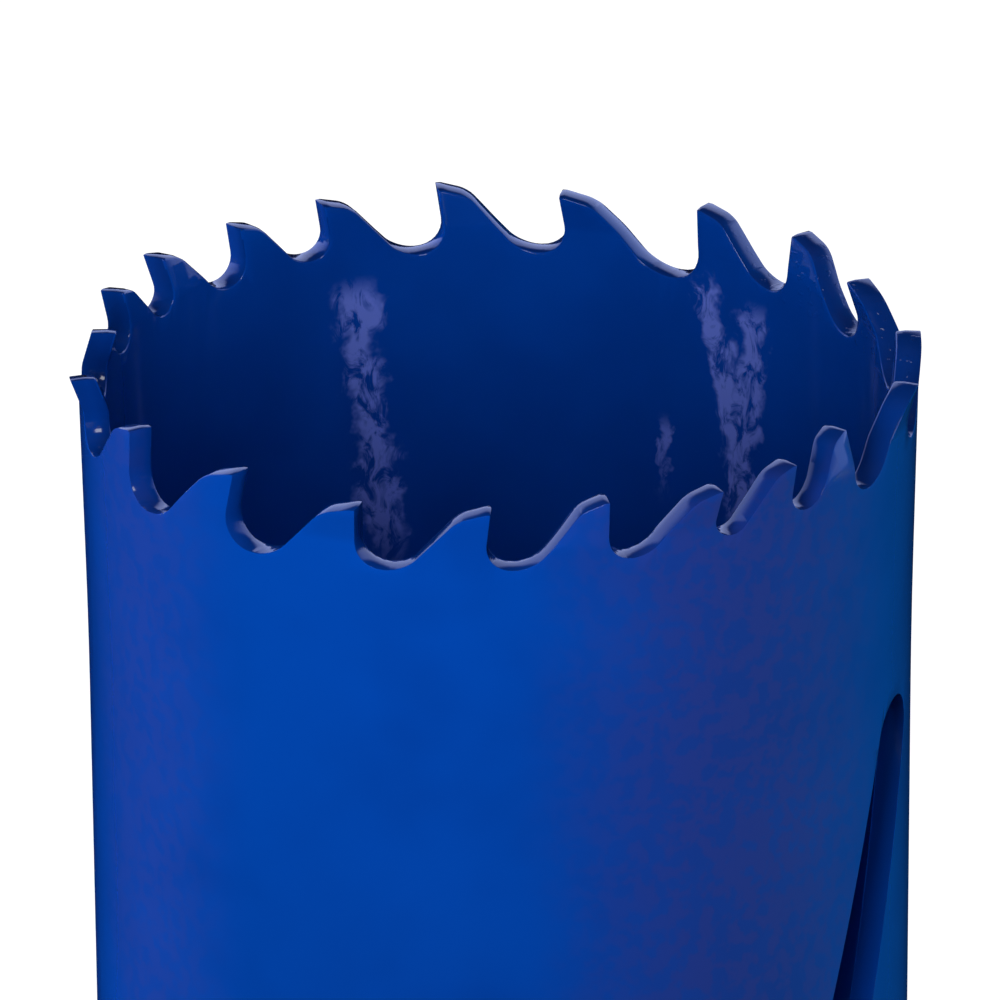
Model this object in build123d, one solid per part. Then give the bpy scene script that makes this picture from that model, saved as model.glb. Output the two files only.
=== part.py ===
from build123d import *
from math import cos, pi, radians, sin, tan
import os

# Hole saw standing on its end cap, teeth up. Millimetres, +Z along the spindle axis,
# origin at the centre of the cap's outer face. Angles run anticlockwise seen from the teeth.
# The shell is one toothed steel strip rolled into a tube. The cap is a turned disc that
# closes the tube's lower end and takes the arbor's thread and its two drive pins.

# Shell
overall_height = 48.0       # cap's outer face to the tooth tips
body_diameter = 34.0        # outside of the tube
wall = 1.05                 # strip thickness
mouth_spread = 0.19         # how far the rolled edge springs out at the teeth, a side
spread_depth = 12.0         # below the tips, where the spring starts

# Teeth in order round the strip, each with the pitch on to the next one and its set.
# The pitches run coarse and fine by turns so that no two neighbours cut in step. Another
# diameter stretches them all alike. The set is how far the tip leans outwards: by turns
# nearly straight, in and out, so that the cut clears the body.
teeth = (
    (5.7, 0.15), (5.4, -0.45), (4.9, 0.40),
    (6.1, 0.20), (5.2, -0.45), (5.1, 0.40),
    (4.3, 0.15), (4.5, 0.10), (3.9, 0.45),
    (4.3, 0.25), (4.7, -0.45), (5.4, 0.55),
    (5.9, 0.05), (5.7, -0.25), (5.1, 0.50),
    (4.7, 0.10), (4.4, -0.45), (3.7, 0.35),
    (3.9, 0.10), (5.3, -0.55), (5.2, 0.40),
)
first_tip_angle = 3.3       # degrees
tip_flat = 0.12             # width of the blunted tip
rake_angle = 6.5            # cutting face leans over its gullet
relief_angle = 16.0         # land behind the tip
back_angle = 48.0           # slope from the land down into the gullet
depth_per_pitch = 0.52      # gullet depth
least_depth = 0.436         # of any gullet, as a share of the mean pitch
land_per_pitch = 0.21       # length of the land
root_per_pitch = 0.21       # gullet radius under the cutting face
heel_per_pitch = 0.25       # radius between land and slope
set_share = 0.72            # height of the bent part, as a share of the shallowest gullet
bend_radius = 1.6

# Slots that let the slug be pushed out
slot_count = 2
slot_width = 3.5
slot_length = 24.0          # end to end
slot_slant = 20.0           # top end leans anticlockwise
slot_middle_height = 23.0
slot_angle = 329.3

# End cap
cap_thickness = 6.0
cap_flange = 2.0            # part of the thickness that the shell stands on
weld_gap = 0.05             # round the spigot inside the shell
thread_minor_diameter = 14.5        # 5/8-18 UNF, cut to its minor diameter
thread_break = 0.8          # countersink at both ends of the thread
pin_hole_count = 2
pin_hole_margin = 0.675     # metal left between a pin hole and the thread or the spigot
pin_hole_break = 0.3        # countersink where the drive pins enter
edge_break = 0.4

# Sizes that follow
body_radius = body_diameter / 2
middle_radius = body_radius - wall / 2
strip_length = sum(pitch for pitch, lean in teeth)
shallowest_gullet = least_depth * 2 * pi * middle_radius / len(teeth)
bend_height = overall_height - set_share * shallowest_gullet
tube_top = overall_height - shallowest_gullet
cutter_reach = 2.0          # past both faces of the wall
spigot_radius = body_radius - wall - weld_gap
thread_radius = thread_minor_diameter / 2
pin_land = spigot_radius - thread_radius - thread_break
pin_hole_radius = pin_land / 2 - pin_hole_margin
pin_circle_radius = spigot_radius - pin_land / 2


def face_line(radius, tip_radius):
    """One face of the wall, from the cap up to a tooth tip."""
    spread_radius = radius + mouth_spread
    return FilletPolyline(
        (radius, cap_flange),
        (radius, overall_height - spread_depth),
        (spread_radius, bend_height),
        (tip_radius, overall_height),
        radius=(0, bend_radius),
    )


def wall_section(lean):
    """The wall's cross-section, with its top edge moved outwards by lean."""
    tip_radius = body_radius + mouth_spread + lean
    outer = face_line(body_radius, tip_radius)
    inner = face_line(body_radius - wall, tip_radius - wall)
    foot = Line(outer @ 0, inner @ 0)
    top = Line(outer @ 1, inner @ 1)
    return Plane.XZ * make_face([*outer.edges(), *inner.edges(), foot, top])


def tooth_tips():
    """Angle of each tip, in degrees, the angle on to the next one, and the tip's lean."""
    angle = first_tip_angle
    tips = []
    for pitch, lean in teeth:
        step = 360 * pitch / strip_length
        tips.append((angle, step, lean))
        angle += step
    return tips


def radial_cutter(outline, angle, height):
    """Cuts an outline drawn on the flat strip square through the rolled wall."""
    around = (-sin(radians(angle)), cos(radians(angle)), 0)
    outwards = (cos(radians(angle)), sin(radians(angle)), 0)
    ends = []
    for distance in (middle_radius - wall / 2 - cutter_reach, body_radius + cutter_reach):
        origin = Vector(*outwards) * distance + Vector(0, 0, height)
        rolled = scale(outline, by=(distance / middle_radius, 1, 1))
        ends.append(Plane(origin=origin, x_dir=around, z_dir=outwards) * rolled)
    return loft(ends, ruled=True)


def gullet_outline(pitch):
    """The space between two tips. The first tooth's cutting face is on the left."""
    half = middle_radius * tan(pitch / middle_radius / 2)
    depth = max(depth_per_pitch * pitch, shallowest_gullet)
    land = land_per_pitch * pitch
    tip = -half
    next_tip = half - tip_flat
    knee = (next_tip - land, -land * tan(radians(relief_angle)))
    root = (tip - depth * tan(radians(rake_angle)), -depth)
    toe = (knee[0] - (depth + knee[1]) / tan(radians(back_angle)), -depth)
    root_radius = root_per_pitch * pitch
    root_end = root[0] + root_radius * tan(radians(90 + rake_angle) / 2)
    toe_radius = 0.98 * (toe[0] - root_end) / tan(radians(back_angle) / 2)
    worked = FilletPolyline(
        (tip, 0), root, toe, knee, (next_tip, 0),
        radius=(root_radius, toe_radius, heel_per_pitch * pitch),
    )
    above = Polyline((next_tip, 0), (next_tip, cutter_reach), (tip, cutter_reach), (tip, 0))
    return make_face([*worked.edges(), *above.edges()])


def slot_outline():
    """The slanted slot, as drawn on the flat strip."""
    return Rot(0, 0, -slot_slant) * SlotOverall(slot_length, slot_width, rotation=90)


def toothed_shell():
    """The rolled strip: a plain tube, a band for each tooth, then gullets and slots."""
    below = Plane.XY.offset(tube_top)
    shell = revolve(split(wall_section(0), below, keep=Keep.BOTTOM), Axis.Z)
    tips = tooth_tips()
    for number, (angle, step, lean) in enumerate(tips):
        step_before = tips[number - 1][1]
        band = split(wall_section(lean), below, keep=Keep.TOP)
        start = angle - step_before / 2
        shell += Rot(0, 0, start) * revolve(band, Axis.Z, (step_before + step) / 2)
    for angle, step, lean in tips:
        outline = gullet_outline(radians(step) * middle_radius)
        shell -= radial_cutter(outline, angle + step / 2, overall_height)
    for number in range(slot_count):
        angle = slot_angle + number * 360 / slot_count
        shell -= radial_cutter(slot_outline(), angle, slot_middle_height)
    return shell


def end_cap():
    """A turned disc: flange under the shell, spigot inside it, threaded bore, pin holes."""
    section = Plane.XZ * make_face(Polyline(
        (thread_radius + thread_break, 0),
        (body_radius - edge_break, 0),
        (body_radius, edge_break),
        (body_radius, cap_flange),
        (spigot_radius, cap_flange),
        (spigot_radius, cap_thickness),
        (thread_radius + thread_break, cap_thickness),
        (thread_radius, cap_thickness - thread_break),
        (thread_radius, thread_break),
        close=True,
    ))
    cap = revolve(section, Axis.Z)
    for place in PolarLocations(pin_circle_radius, pin_hole_count):
        cap -= place * pin_hole()
    return cap


def pin_hole():
    """What a drive pin's drill and countersink take out of the cap."""
    section = make_face(Polyline(
        (0, 0),
        (pin_hole_radius + pin_hole_break, 0),
        (pin_hole_radius, pin_hole_break),
        (pin_hole_radius, cap_thickness),
        (0, cap_thickness),
        close=True,
    ))
    return revolve(Plane.XZ * section, Axis.Z)


os.makedirs("parts", exist_ok=True)
export_step(toothed_shell(), "parts/toothed_shell.step")
export_step(end_cap(), "parts/end_cap.step")
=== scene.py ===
import bpy
from math import degrees, pi, radians, tan
from mathutils import Matrix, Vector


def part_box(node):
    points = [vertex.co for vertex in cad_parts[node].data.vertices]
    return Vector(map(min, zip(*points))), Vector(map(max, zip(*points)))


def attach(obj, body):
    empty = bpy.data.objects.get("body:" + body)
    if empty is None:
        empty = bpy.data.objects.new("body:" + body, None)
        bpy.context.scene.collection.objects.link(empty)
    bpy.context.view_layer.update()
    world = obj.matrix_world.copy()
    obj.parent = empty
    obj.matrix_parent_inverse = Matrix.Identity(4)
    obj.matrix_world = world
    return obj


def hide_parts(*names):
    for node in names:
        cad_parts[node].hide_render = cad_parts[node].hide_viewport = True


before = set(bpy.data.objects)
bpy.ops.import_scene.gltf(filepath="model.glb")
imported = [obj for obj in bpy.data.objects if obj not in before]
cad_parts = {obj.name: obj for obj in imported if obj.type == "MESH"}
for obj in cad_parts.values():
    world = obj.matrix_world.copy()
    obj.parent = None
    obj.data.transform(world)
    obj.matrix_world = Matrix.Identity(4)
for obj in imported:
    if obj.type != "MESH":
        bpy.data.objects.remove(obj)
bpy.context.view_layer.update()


# The toothed shell. A strip of bimetal steel has its gullets ground and its two slots
# punched while it is flat. The teeth are then set, the strip is rolled up and its ends are
# butt-welded. Enamel softens every edge.

mm = 0.001
hair = 0.001 * mm                   # closer than this is the same place
outside = 17.0 * mm
wall = 1.05 * mm
middle = outside - wall / 2         # the middle of the wall keeps its length when rolled
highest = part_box("toothed_shell")[1][2]
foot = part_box("toothed_shell")[0][2]

# From the weld round the mouth: pitch on to the next tooth, set at the tip, outwards.
teeth = (
    (5.2, -0.45), (5.1, 0.40), (4.3, 0.15),
    (4.5, 0.10), (3.9, 0.45), (4.3, 0.25),
    (4.7, -0.45), (5.4, 0.55), (5.9, 0.05),
    (5.7, -0.25), (5.1, 0.50), (4.7, 0.10),
    (4.4, -0.45), (3.7, 0.35), (3.9, 0.10),
    (5.3, -0.55), (5.2, 0.40), (5.7, 0.15),
    (5.4, -0.45), (4.9, 0.40), (6.1, 0.20),
)
second_tip_angle = 80.5             # of the first tooth after the weld, in degrees
length = 2 * pi * middle
stretch = length / sum(pitch for pitch, lean in teeth)      # table to metres
tip_flat = 0.20 * mm
rake_angle = radians(6.5)
relief_angle = radians(16)
back_angle = radians(48)
least_depth = 2.15 * mm             # of any gullet
depth_per_pitch = 0.52
land_per_pitch = 0.21
root_per_pitch = 0.21               # radius under the cutting face
heel_per_pitch = 0.25               # radius between land and slope
toe_share = 0.9                     # of the gullet's floor that the toe's rounding takes
crisp_edge = 0.03 * mm              # outside, and across the tips
soft_edge = 0.08 * mm               # inside, where the enamel gathers
crown = 0.04 * mm                   # of the enamel on the teeth's cut faces
crown_line = 0.1 * wall             # the crown's ridge, from the middle of the wall inwards
gullets_above = 40 * mm             # and all of both slots below
sharp = radians(40)                 # a bend above this counts as an edge
top = highest - crown


def clear():
    """Starts a new object with nothing else selected."""
    if bpy.context.object and bpy.context.object.mode == "EDIT":
        bpy.ops.object.mode_set(mode="OBJECT")
    bpy.ops.object.select_all(action="DESELECT")


def pick(test):
    """Selects the vertices of the object being edited that pass a test of their place."""
    bpy.ops.mesh.select_mode(type="VERT")
    bpy.ops.mesh.select_all(action="DESELECT")
    bpy.ops.object.mode_set(mode="OBJECT")
    for vertex in bpy.context.object.data.vertices:
        vertex.select = test(vertex.co)
    bpy.ops.object.mode_set(mode="EDIT")


def draw(name, corners, depth=0.0):
    """Draws a closed outline in the XZ plane from corner to corner, and fills it."""
    clear()
    bpy.ops.mesh.primitive_plane_add(size=mm)
    piece = bpy.context.object
    piece.name = name
    bpy.ops.object.mode_set(mode="EDIT")
    bpy.ops.mesh.merge(type="CENTER")
    bpy.ops.transform.translate(value=(corners[0][0], depth, corners[0][1]))
    for (x, z), (next_x, next_z) in zip(corners, corners[1:]):
        step = (next_x - x, 0, next_z - z)
        bpy.ops.mesh.extrude_region_move(TRANSFORM_OT_translate={"value": step})
    bpy.ops.mesh.select_all(action="SELECT")
    bpy.ops.mesh.edge_face_add()
    return piece


def round_off(corner, reach, segments):
    """Rounds a corner of an outline, starting at the given distance from it."""
    pick(lambda place: abs(place.x - corner[0]) + abs(place.z - corner[1]) < hair)
    bpy.ops.mesh.bevel(affect="VERTICES", offset=reach, segments=segments, profile=0.5)


def face_outwards():
    """Turns all faces of the piece being edited outwards, and leaves edit mode."""
    bpy.ops.mesh.select_all(action="SELECT")
    bpy.ops.mesh.normals_make_consistent()
    bpy.ops.object.mode_set(mode="OBJECT")


def thicken(depth):
    """Gives the outline being edited a depth along Y."""
    bpy.ops.mesh.select_all(action="SELECT")
    bpy.ops.mesh.extrude_region_move(TRANSFORM_OT_translate={"value": (0, depth, 0)})
    face_outwards()


def cut(piece, cutter):
    """Takes a closed cutter out of a piece, and throws the cutter away."""
    clear()
    bpy.context.view_layer.objects.active = piece
    piece.select_set(True)
    difference = piece.modifiers.new("cut", "BOOLEAN")
    difference.object = cutter
    difference.solver = "EXACT"
    bpy.ops.object.modifier_apply(modifier="cut")
    bpy.data.objects.remove(cutter)


def gullet(tip, pitch):
    """The corners under the tip of one tooth and up to the next, with their roundings."""
    depth = max(depth_per_pitch * pitch, least_depth)
    land = land_per_pitch * pitch
    floor = top - depth
    knee = (tip + pitch - tip_flat - land, top - land * tan(relief_angle))
    root = (tip - depth * tan(rake_angle), floor)
    toe = (knee[0] - (knee[1] - floor) / tan(back_angle), floor)
    root_reach = root_per_pitch * pitch * tan((pi / 2 + rake_angle) / 2)
    toe_reach = toe_share * (toe[0] - root[0] - root_reach)
    knee_reach = heel_per_pitch * pitch * tan((back_angle - relief_angle) / 2)
    return [(root, root_reach, 8), (toe, toe_reach, 8), (knee, knee_reach, 4)]


# The strip starts and ends at the weld, on the flat floor of the last gullet.
last_pitch = teeth[-1][0] * stretch
root, toe, knee = gullet(0, last_pitch)
weld = (root[0][0] + root[1] + toe[0][0] - toe[1]) / 2
end = length / 2
tips = []
tip = last_pitch - weld - end
for pitch, lean in teeth:
    tips.append((tip, pitch * stretch, lean * mm))
    tip += tips[-1][1]

outline = [(-end, root[0][1])]
rounds = []
root, toe, knee = gullet(-weld - end, last_pitch)
for tip, pitch, lean in tips:
    rounds += [toe, knee]
    outline += [toe[0], knee[0], (tip - tip_flat, top), (tip, top)]
    root, toe, knee = gullet(tip, pitch)
    rounds.append(root)
    outline.append(root[0])
outline += [(end, root[0][1]), (end, foot), (-end, foot)]

strip = draw("shell", outline, -wall / 2)
for corner, reach, segments in rounds:
    round_off(corner, reach, segments)
thicken(wall)

# Two slanted slots, opposite each other, for pushing the slug out.
slot_width = 3.5 * mm
slot_length = 24.0 * mm
slot_angle = 329.3                  # degrees
slot_slant = 20                     # degrees
slot_middle = 23.0 * mm
slot_end_share = 0.998              # the ends are nearly full half rounds
weld_angle = second_tip_angle - degrees((last_pitch - weld) / middle)
for angle in (slot_angle, slot_angle - 180):
    x = radians(angle - weld_angle) * middle - end
    side = slot_width / 2
    tall = slot_length / 2
    corners = [(side, tall), (-side, tall), (-side, -tall), (side, -tall)]
    punch = draw("punch", corners, -wall)
    for corner in corners:
        round_off(corner, slot_end_share * side, 12)
    thicken(2 * wall)
    punch.rotation_euler.y = radians(slot_slant)
    punch.location = (x, 0, slot_middle)
    cut(strip, punch)

# The enamel rounds every edge but the two that are welded, and crowns the teeth's cut
# faces, which get a line along their middle to swell at.
clear()
strip.select_set(True)
bpy.ops.object.mode_set(mode="EDIT")
for side in (-1, 1):
    pick(lambda place: place.x * side > end - hair)
    bpy.ops.mesh.delete(type="ONLY_FACE")
bpy.ops.mesh.select_all(action="SELECT")
bpy.ops.mesh.bisect(plane_co=(0, crown_line, 0), plane_no=(0, 1, 0), threshold=1e-7)
pick(lambda place: abs(place.y - crown_line) < hair and place.z > gullets_above)
bpy.ops.transform.shrink_fatten(value=crown)
for inside_only, width in ((True, soft_edge), (False, crisp_edge)):
    bpy.ops.mesh.select_mode(type="EDGE")
    bpy.ops.mesh.select_all(action="DESELECT")
    bpy.ops.mesh.edges_select_sharp(sharpness=sharp)
    bpy.ops.object.mode_set(mode="OBJECT")
    for edge in strip.data.edges:
        lowest = min(strip.data.vertices[number].co.y for number in edge.vertices)
        if inside_only and lowest < wall / 2 - hair:
            edge.select = False
    bpy.ops.object.mode_set(mode="EDIT")
    bpy.ops.mesh.bevel(offset=width, segments=2, profile=0.5, clamp_overlap=False)

# Cross lines give the strip something to bend at: columns for the roll, rows for the
# spread of the mouth and for the set.
spread = 0.19 * mm
spread_start = 36 * mm
spread_softness = 3 * mm
set_start = top - 1.54 * mm
set_softness = 0.22 * mm
columns = 180
rows = [height * mm for height in (12, 22, 31, 33, 35, 37, 39, 41, 43, 45)]
rows += [set_start + step * mm for step in (-0.22, -0.07, 0.07, 0.22, 0.6, 1.1)]
for number in range(1, columns):
    bpy.ops.mesh.select_all(action="SELECT")
    place = (number / columns - 0.5) * length
    bpy.ops.mesh.bisect(plane_co=(place, 0, 0), plane_no=(1, 0, 0), threshold=1e-7)
for height in rows:
    bpy.ops.mesh.select_all(action="SELECT")
    bpy.ops.mesh.bisect(plane_co=(0, 0, height), plane_no=(0, 0, 1), threshold=1e-7)
bpy.ops.object.mode_set(mode="OBJECT")

# The faces that were cut are marked for the material, which paints shade on them.
mark = strip.data.attributes.new("cut_face", "FLOAT", "FACE")
for face in strip.data.polygons:
    mark.data[face.index].value = abs(face.normal.y) < 0.5


def past_bend(height, softness):
    """How far a height lies past a bend that starts at 0, with the bend itself rounded."""
    if height < softness:
        return max(0, height + softness) ** 2 / (4 * softness)
    return height


# The mouth springs out and each tooth is pushed over without tipping its land, which no
# operator does without a window, so the points are moved outwards one by one.
for vertex in strip.data.vertices:
    place = vertex.co
    lean = next(lean for tip, pitch, lean in tips if place.x < tip + pitch / 4)
    sprung = past_bend(min(place.z, set_start) - spread_start, spread_softness)
    pushed = past_bend(place.z - set_start, set_softness)
    out = spread * sprung / (set_start - spread_start)
    out += lean * pushed / (top - set_start)
    place.y -= out

# Rolled up with the outside out, turned to its place, and welded shut.
roll = strip.modifiers.new("roll", "SIMPLE_DEFORM")
roll.deform_method = "BEND"
roll.deform_axis = "Z"
roll.angle = 2 * pi
bpy.ops.object.modifier_apply(modifier="roll")
strip.location.y = -middle
bpy.ops.object.transform_apply()
strip.rotation_euler.z = radians(weld_angle - 90)
bpy.ops.object.transform_apply()
bpy.ops.object.mode_set(mode="EDIT")
bpy.ops.mesh.select_mode(type="VERT")
bpy.ops.mesh.select_all(action="SELECT")
bpy.ops.mesh.remove_doubles(threshold=4 * hair)
bpy.ops.mesh.fill_holes(sides=4)
face_outwards()


class Socket:
    """A node's output. Python's operators on it add Math nodes to its tree."""

    def __init__(self, tree, link=None):
        self.tree = tree
        self.link = link

    def node(self, kind, settings, sockets, output=0):
        """Adds a node: its settings first, then the values or links of its sockets."""
        made = self.tree.nodes.new("ShaderNode" + kind)
        for name, value in settings.items():
            setattr(made, name, value)
        for name, value in sockets.items():
            if isinstance(value, Socket):
                self.tree.links.new(value.link, made.inputs[name])
            else:
                made.inputs[name].default_value = value
        return Socket(self.tree, made.outputs[output] if made.outputs else None)

    def math(self, operation, *values):
        return self.node("Math", {"operation": operation}, dict(enumerate(values)))

    def __add__(self, other):
        return self.math("ADD", self, other)

    def __sub__(self, other):
        return self.math("SUBTRACT", self, other)

    def __rsub__(self, other):
        return self.math("SUBTRACT", other, self)

    def __mul__(self, other):
        return self.math("MULTIPLY", self, other)

    def __pow__(self, other):
        return self.math("POWER", self, other)

    def __abs__(self):
        return self.math("ABSOLUTE", self)

    __radd__ = __add__
    __rmul__ = __mul__

    def rise(self, low, high):
        """0 below low, 1 above high and smooth between them, or falling if they swap."""
        return self.node("MapRange", {"interpolation_type": "SMOOTHSTEP"}, {
            "Value": self, "From Min": low, "From Max": high})

    def noise(self, scale, detail=2.0, roughness=0.5, distortion=0.0):
        """Noise from 0 to 1 on these coordinates, scale to the metre."""
        return self.node("TexNoise", {}, {
            "Vector": self, "Scale": scale, "Detail": detail, "Roughness": roughness,
            "Distortion": distortion})

    def stretched(self, x, y, z):
        """These coordinates, multiplied along each axis."""
        return self.node("VectorMath", {"operation": "MULTIPLY"}, {0: self, 1: (x, y, z)})

    def axis(self, number):
        """One of these coordinates: 0 for x, 1 for y, 2 for z."""
        return self.node("SeparateXYZ", {}, {0: self}, number)

    def towards(self, other, share):
        """This colour, mixed with another one by a share."""
        return self.node("Mix", {"data_type": "RGBA"}, {0: share, 6: self, 7: other}, 2)


def empty_tree(owner):
    """Clears the nodes of a material or a world, and gives a socket to build on."""
    owner.use_nodes = True
    owner.node_tree.nodes.clear()
    return Socket(owner.node_tree)


def strongest(shares):
    """The highest of several shares, place by place."""
    highest = shares[0]
    for share in shares[1:]:
        highest = highest.math("MAXIMUM", highest, share)
    return highest


enamel_blue = (0.0002, 0.062, 0.44, 1)
enamel_deep = (0.0002, 0.050, 0.37, 1)
# Painted sheen: the purple of the patches on the outer wall.
painted_sheen_purple = (0.022, 0.050, 0.33, 1)
# Painted reflection: the pale colour of the streaks inside the cup.
painted_reflection_pale = (0.17, 0.25, 0.85, 1)
# Painted shade: the navy laid over the cut faces.
painted_shade_navy = (0.0004, 0.018, 0.15, 1)
peel_height = 0.0048 * mm
bead_height = 0.020 * mm            # of the laser weld at the joint
seam_height = 0.008 * mm            # of the butt weld up the shell
nib_height = 0.012 * mm             # of the specks on the right-hand teeth
ring_height = 0.0015 * mm           # of the lathe tool's rings on the cap
ring_rate = 11000                   # radians to the metre
weld_gap = 0.05 * mm                # round the spigot inside the shell
spigot = outside - wall - weld_gap

# Patches of painted sheen on the outside: angle, half width, strength. Angles are in
# degrees from +X, anticlockwise seen from the teeth.
painted_sheen_patches = ((304, 19, 0.9), (213, 11, 0.5), (38, 20, 0.4), (130, 17, 0.3))

# Painted reflection streaks on the inside: angle at the upper end, slant in degrees to the
# millimetre, half width, lower and upper end.
painted_reflection_streaks = (
    (112.5, 0.42, 4.2, 30 * mm, 44.3 * mm),
    (57.5, 0.95, 3.0, 33 * mm, 45.3 * mm),
    (48, -0.25, 3.4, 32 * mm, 44.3 * mm),
    (64, 0.0, 1.6, 34 * mm, 38.2 * mm),
)


def enamel(name, painted_reflection_streaks=(), seam=None, bare=None):
    """Gloss blue enamel over steel, with patches of painted sheen outside, painted
    reflection streaks inside and painted shade on the cut faces.
    """
    material = bpy.data.materials.new(name)
    start = empty_tree(material)
    place = start.node("TexCoord", {}, {}, "Object")
    x, y, z = (place.axis(number) for number in range(3))
    radius = (x * x + y * y) ** 0.5
    angle = start.math("ARCTAN2", 0 - y, 0 - x) * (180 / pi) + 180

    # Slow drift of the colour, with the pigment a little thinner in places.
    drift = place.noise(90, 3, 0.6)
    colour = start.node("Mix", {"data_type": "RGBA"}, {
        0: drift.rise(0.35, 0.7), 6: enamel_blue, 7: enamel_deep}, 2)

    # Broad patches of painted sheen, purple and a little darker, with clear spots in them.
    spots = place.noise(1300, 2, 0.6).rise(0.44, 0.58)
    ragged = (drift - 0.5) * 20
    patches = []
    for middle_angle, half_width, share in painted_sheen_patches:
        away = abs(angle - middle_angle + ragged)
        patches.append(away.rise(half_width * 1.8, half_width * 0.2) * share)
    painted_sheen = strongest(patches) * radius.rise(middle - 0.2 * mm, middle + 0.2 * mm)
    colour = colour.towards(painted_sheen_purple, painted_sheen * (1 - 0.5 * spots))

    # Painted shade: the cut faces are darkened towards navy.
    cut_face = start.node("Attribute", {"attribute_name": "cut_face"}, {}, "Fac")
    colour = colour.towards(painted_shade_navy, cut_face * 0.55)

    # Orange peel, and under the film the laser weld round the joint, the lathe tool's
    # rings on the cap's outer face, specks on the right-hand teeth and the butt weld.
    lumps = place.noise(2800, 1)
    on_outside = radius.rise(middle, outside)
    bead = abs(z - foot).rise(0.45 * mm, 0.1 * mm) * on_outside * (0.6 + lumps)
    rings = start.math("SINE", radius * ring_rate) * radius.rise(spigot + 0.5 * mm, spigot)
    nibs = lumps.rise(0.60, 0.70) * z.rise(44.6 * mm, 45.2 * mm)
    height = place.noise(1500, 3, 0.45) * peel_height
    height = height + bead * bead_height
    height = height + rings * z.rise(0.5 * mm, 0.1 * mm) * ring_height
    height = height + nibs * abs(abs(angle - 197) - 180).rise(45, 25) * nib_height
    if seam is not None:
        butt = abs(angle - seam).rise(1.1, 0.3) * on_outside * (0.6 + lumps)
        height = height + butt * seam_height
    surface = start.node("Bump", {}, {"Strength": 1.0, "Distance": 1.0, "Height": height})

    # Painted reflections: pale streaks in broken ripples on the inside.
    if painted_reflection_streaks:
        wander = (place.noise(700, 3, 0.6) - 0.5) * 9
        streaks = []
        for upper_angle, slant, half_width, low, high in painted_reflection_streaks:
            away = abs(angle - upper_angle - (z - high) * (slant / mm) + wander)
            ends = z.rise(low, low + 4 * mm) * z.rise(high + 0.5 * mm, high - 0.8 * mm)
            streaks.append(away.rise(half_width, half_width * 0.35) * ends)
        painted_reflection = strongest(streaks) * radius.rise(middle + 0.1 * mm, middle - 0.1 * mm)
        ripple = place.stretched(1, 1, 0.6).noise(1100, 4, 0.65, 1.0).rise(0.38, 0.56)
        colour = colour.towards(painted_reflection_pale, painted_reflection * ripple * 0.9)

    rough = 0.10 + 0.06 * drift
    metal = 0.0
    if bare is not None:
        metal = bare(radius)
        colour = colour.towards(bare_steel, metal)
        rough = rough + metal * 0.08
    shader = start.node("BsdfPrincipled", {}, {
        "Base Color": colour,
        "Roughness": rough,
        "Metallic": metal,
        "IOR": 1.5,
        "Coat Weight": 0.5,
        "Coat Roughness": 0.06,
        "Normal": surface,
    })
    start.node("OutputMaterial", {}, {"Surface": shader})
    return material


def finish_piece(piece, node, material):
    """Shades a piece smooth up to its sharp edges, gives it its material, hangs it on the
    root and hides the CAD part that it stands for.
    """
    clear()
    bpy.context.view_layer.objects.active = piece
    piece.select_set(True)
    bpy.ops.object.shade_smooth_by_angle(angle=sharp)
    weigh = piece.modifiers.new("weigh", "WEIGHTED_NORMAL")
    weigh.keep_sharp = True
    weigh.weight = 80
    piece.data.materials.clear()
    piece.data.materials.append(material)
    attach(piece, "root")
    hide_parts(node)


shell_enamel = enamel("shell enamel", painted_reflection_streaks, seam=weld_angle)
finish_piece(strip, "toothed_shell", shell_enamel)


# The end cap. A steel disc is turned with a flange for the tube to stand on and a spigot
# inside it, drilled for the arbor's two drive pins and tapped 5/8-18 in the middle. The
# tube is laser-welded to the flange, and cap and shell are enamelled together.

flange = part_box("toothed_shell")[0][2]
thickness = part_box("end_cap")[1][2]
bore = 7.25 * mm
thread_break = 0.8 * mm
edge_break = 0.4 * mm
pin_hole = 3.25 * mm
pin_circle = 11.975 * mm
pin_break = 0.3 * mm
thread_pitch = 25.4 / 18 * mm
thread_turns = 7
bare_steel = (0.42, 0.41, 0.40, 1)


def turn(name, corners, rounding, steps):
    """Turns a closed section about the Z axis, with its corners rounded."""
    piece = draw(name, corners)
    for corner in corners:
        if corner[0] > 0:
            round_off(corner, rounding, 3)
    bpy.ops.mesh.select_all(action="SELECT")
    bpy.ops.mesh.delete(type="ONLY_FACE")
    bpy.ops.mesh.select_all(action="SELECT")
    bpy.ops.mesh.spin(steps=steps, angle=2 * pi, center=(0, 0, 0), axis=(0, 0, 1))
    bpy.ops.mesh.select_all(action="SELECT")
    bpy.ops.mesh.remove_doubles(threshold=hair)
    face_outwards()
    return piece


cap = turn("cap", [
    (bore + thread_break, 0),
    (outside - edge_break, 0),
    (outside, edge_break),
    (outside, flange),
    (spigot, flange),
    (spigot, thickness),
    (bore + thread_break, thickness),
    (bore, thickness - thread_break),
    (bore, thread_break),
], 0.12 * mm, 180)

for side in (-1, 1):
    drill = turn("drill", [
        (0, -mm),
        (pin_hole + pin_break + mm, -mm),
        (pin_hole, pin_break),
        (pin_hole, thickness + mm),
        (0, thickness + mm),
    ], 0.1 * mm, 64)
    drill.location.x = side * pin_circle
    cut(cap, drill)

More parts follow.
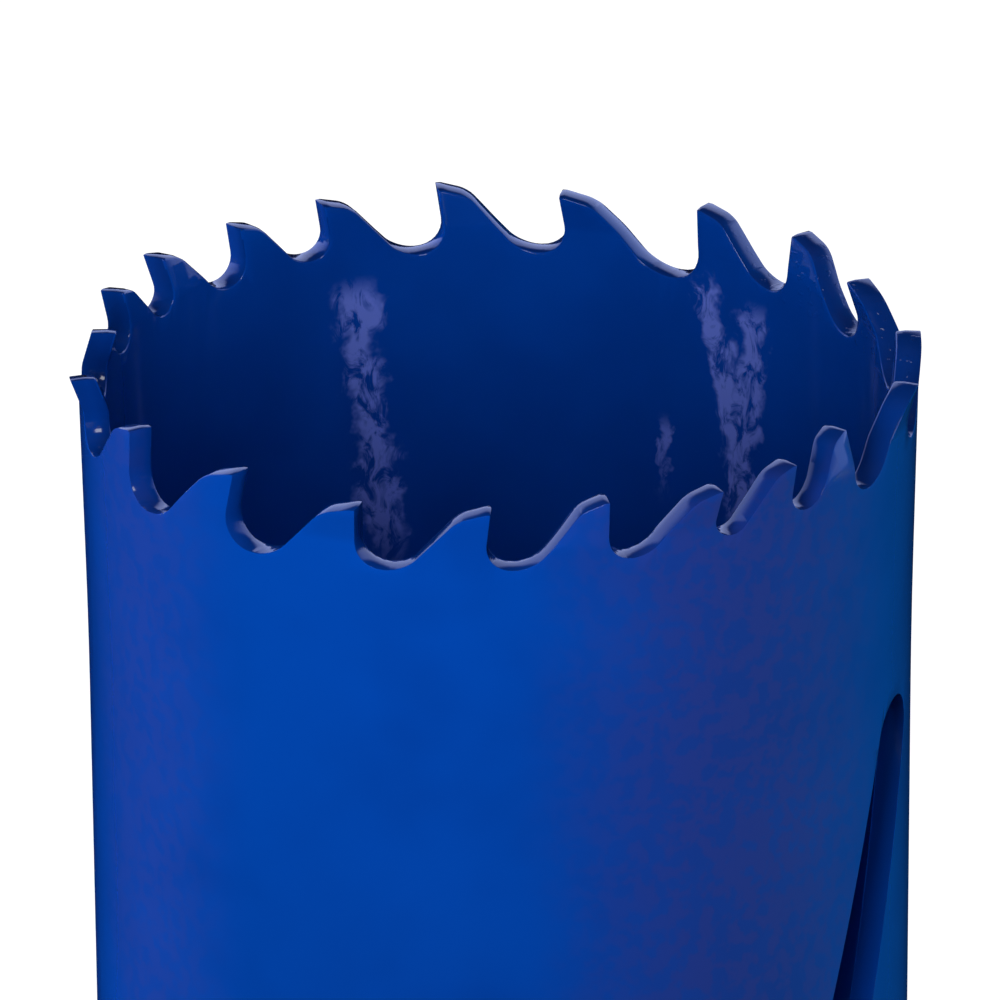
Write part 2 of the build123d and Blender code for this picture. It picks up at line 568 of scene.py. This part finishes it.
# The tap: one thread groove's section, carried up the bore as a right-hand screw.
tap_start = -2.0 * mm
groove_floor = bore + 0.69 * mm
groove_mouth = bore - 0.1 * mm
tap = draw("tap", [
    (groove_mouth, tap_start - 0.66 * mm),
    (groove_floor, tap_start - 0.09 * mm),
    (groove_floor, tap_start + 0.09 * mm),
    (groove_mouth, tap_start + 0.66 * mm),
])
bpy.ops.mesh.select_all(action="SELECT")
bpy.ops.mesh.delete(type="ONLY_FACE")
bpy.ops.object.mode_set(mode="OBJECT")
screw = tap.modifiers.new("screw", "SCREW")
screw.screw_offset = thread_pitch
screw.iterations = thread_turns
screw.steps = 72
bpy.ops.object.modifier_apply(modifier="screw")
bpy.ops.object.mode_set(mode="EDIT")
bpy.ops.mesh.select_all(action="SELECT")
bpy.ops.mesh.fill_holes(sides=0)
face_outwards()
cut(cap, tap)


def inside_bore(radius):
    """1 on the cut thread, 0 on the enamel."""
    return radius.rise(bore + 1.0 * mm, bore + 0.85 * mm)


finish_piece(cap, "end_cap", enamel("cap enamel", bare=inside_bore))


# Floor, light and camera. The saw stands on a plain pale floor, under a soft light from
# the front and a weak window above it, with two low lamps that draw the sheen on the sides
# of the wall. In reflections the floor is dark, and a bluish card stands behind the saw.

floor_drop = 0.02 * mm              # keeps the floor clear of the cap's face
clear()
bpy.ops.mesh.primitive_plane_add(size=6, location=(0, 0, -floor_drop))
floor = bpy.context.object
floor.name = "floor"


def grey(level):
    """A plain grey, as a colour."""
    return (level, level, level, 1)


def backdrop(start, seen, lit, mirrored):
    """What a camera ray, any other ray and a glossy ray see of the surroundings."""
    is_camera = start.node("LightPath", {}, {}, "Is Camera Ray")
    is_glossy = start.node("LightPath", {}, {}, "Is Glossy Ray")
    mixed = start.node("MixShader", {}, {0: is_glossy, 1: lit, 2: mirrored})
    return start.node("MixShader", {}, {0: is_camera, 1: mixed, 2: seen})


floor_paint = bpy.data.materials.new("floor")
start = empty_tree(floor_paint)
pale = start.node("BsdfDiffuse", {}, {"Color": grey(0.5)})
glow = start.node("Emission", {}, {"Color": grey(1), "Strength": 1.7})
seen = start.node("MixShader", {}, {0: 0.6, 1: pale, 2: glow})
dim = start.node("BsdfDiffuse", {}, {"Color": grey(0.1)})
dark = start.node("BsdfDiffuse", {}, {"Color": (0.005, 0.005, 0.006, 1)})
start.node("OutputMaterial", {}, {"Surface": backdrop(start, seen, dim, dark)})
floor.data.materials.append(floor_paint)

studio = bpy.data.worlds.new("studio")
bpy.context.scene.world = studio
start = empty_tree(studio)
direction = start.node("TexCoord", {}, {}, "Generated")
height = direction.axis(2)
overhead = 0.03 + height.rise(0.75, 1.0) * 0.6
behind = 0.02 + direction.axis(1).rise(-0.2, 0.5) * height.rise(0.66, 0.48) * 1.35
white = start.node("Background", {}, {"Color": grey(1), "Strength": 1.0})
fill = start.node("Background", {}, {"Color": grey(1), "Strength": overhead})
card = start.node("Background", {}, {"Color": (0.45, 0.54, 1, 1), "Strength": behind})
start.node("OutputWorld", {}, {"Surface": backdrop(start, white, fill, card)})

lamps_aim = Matrix.Translation((0, 0, 35 * mm))
lamp_white = (1, 1, 1)
lamp_yellow = (1, 1, 0.66)


def soft_light(name, azimuth, elevation, distance, size, level, colour, glints):
    """A lamp aimed at the saw. A level of 1 shows a colour as it is written."""
    clear()
    bpy.ops.object.light_add(type="AREA")
    lamp = bpy.context.object
    lamp.name = name
    turned = Matrix.Rotation(radians(azimuth + 90), 4, "Z")
    raised = Matrix.Rotation(radians(90 - elevation), 4, "X")
    lamp.matrix_world = lamps_aim @ turned @ raised @ Matrix.Translation((0, 0, distance))
    lamp.data.shape = "RECTANGLE"
    lamp.data.size, lamp.data.size_y = size
    lamp.data.energy = level * (pi * distance) ** 2
    lamp.data.color = colour
    lamp.visible_glossy = glints


soft_light("key", 256, 17, 0.09, (0.04, 0.04), 0.66, lamp_white, False)
soft_light("right", 22, -4.5, 0.25, (0.15, 0.025), 1.2, lamp_yellow, False)
soft_light("left", 150, -4.5, 0.25, (0.15, 0.025), 1.6, lamp_white, False)
soft_light("window", 284, 42, 0.25, (0.065, 0.065), 0.10, lamp_white, True)
bpy.context.scene.view_settings.view_transform = "Standard"

camera_place = (0.000034, -0.40969, 0.22335)
camera_tilt = radians(66)
camera_roll = radians(-0.352)
clear()
bpy.ops.object.camera_add(location=camera_place, rotation=(camera_tilt, 0, 0))
camera = bpy.context.object
camera.data.lens = 392.4
camera.data.clip_start = 0.01
bpy.context.scene.camera = camera
bpy.context.view_layer.update()
camera.matrix_world = camera.matrix_world @ Matrix.Rotation(camera_roll, 4, "Z")
